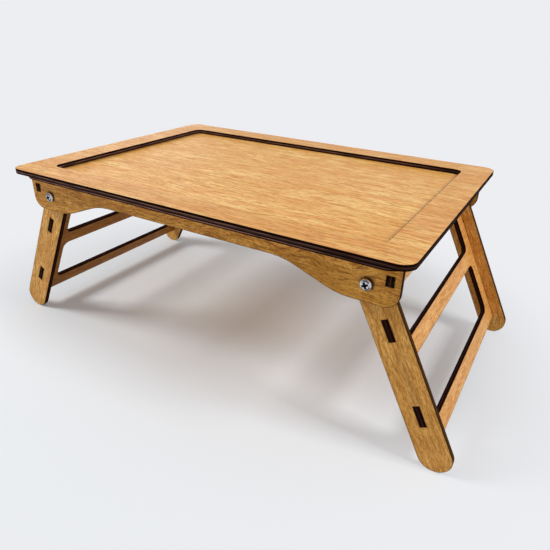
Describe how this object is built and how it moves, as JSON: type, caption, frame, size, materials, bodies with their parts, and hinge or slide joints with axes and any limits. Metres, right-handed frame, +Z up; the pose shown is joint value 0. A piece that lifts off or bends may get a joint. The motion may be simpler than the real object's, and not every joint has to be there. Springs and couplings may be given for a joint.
{
  "type": "folding bed tray",
  "caption": "Laser cut plywood bed tray with a raised rim and splayed leg frames that fold flat under the top.",
  "frame": {"origin": "on the floor under the middle of the tray, standing on its open legs", "axes": "+X along the tray towards the right leg set, +Y to the back, +Z up"},
  "size_m": [0.6194, 0.356, 0.2189],
  "materials": {
    "top_plywood": "honey stained birch plywood, thin satin coat, dark laser cut edges",
    "frame_plywood": "brown stained birch plywood, thin satin coat, dark laser cut edges",
    "zinc_steel": "bright zinc plate"
  },
  "bodies": {
    "tray": {"top_rim": "top_plywood", "base_panel": "top_plywood", "front_apron": "frame_plywood", "back_apron": "frame_plywood", "left_cross_bar": "frame_plywood", "right_cross_bar": "frame_plywood", "front_left_screw": "zinc_steel", "front_left_spacer_washer": "zinc_steel", "front_left_inner_washer": "zinc_steel", "front_left_lock_nut": "zinc_steel", "front_right_screw": "zinc_steel", "front_right_spacer_washer": "zinc_steel", "front_right_inner_washer": "zinc_steel", "front_right_lock_nut": "zinc_steel", "back_left_screw": "zinc_steel", "back_left_spacer_washer": "zinc_steel", "back_left_inner_washer": "zinc_steel", "back_left_lock_nut": "zinc_steel", "back_right_screw": "zinc_steel", "back_right_spacer_washer": "zinc_steel", "back_right_inner_washer": "zinc_steel", "back_right_lock_nut": "zinc_steel"},
    "left_leg_frame": {"front_left_leg": "frame_plywood", "back_left_leg": "frame_plywood", "left_leg_panel": "frame_plywood"},
    "right_leg_frame": {"front_right_leg": "frame_plywood", "back_right_leg": "frame_plywood", "right_leg_panel": "frame_plywood"}
  },
  "joints": [
    {"name": "left_leg_fold", "type": "hinge", "parent": "tray", "child": "left_leg_frame", "pos_m": [-0.2075, 0, 0.18477], "axis": [0, -1, 0], "range_deg": [0, 118.2]},
    {"name": "right_leg_fold", "type": "hinge", "parent": "tray", "child": "right_leg_frame", "pos_m": [0.2075, 0, 0.18477], "axis": [0, 1, 0], "range_deg": [0, 118.2]}
  ]
}
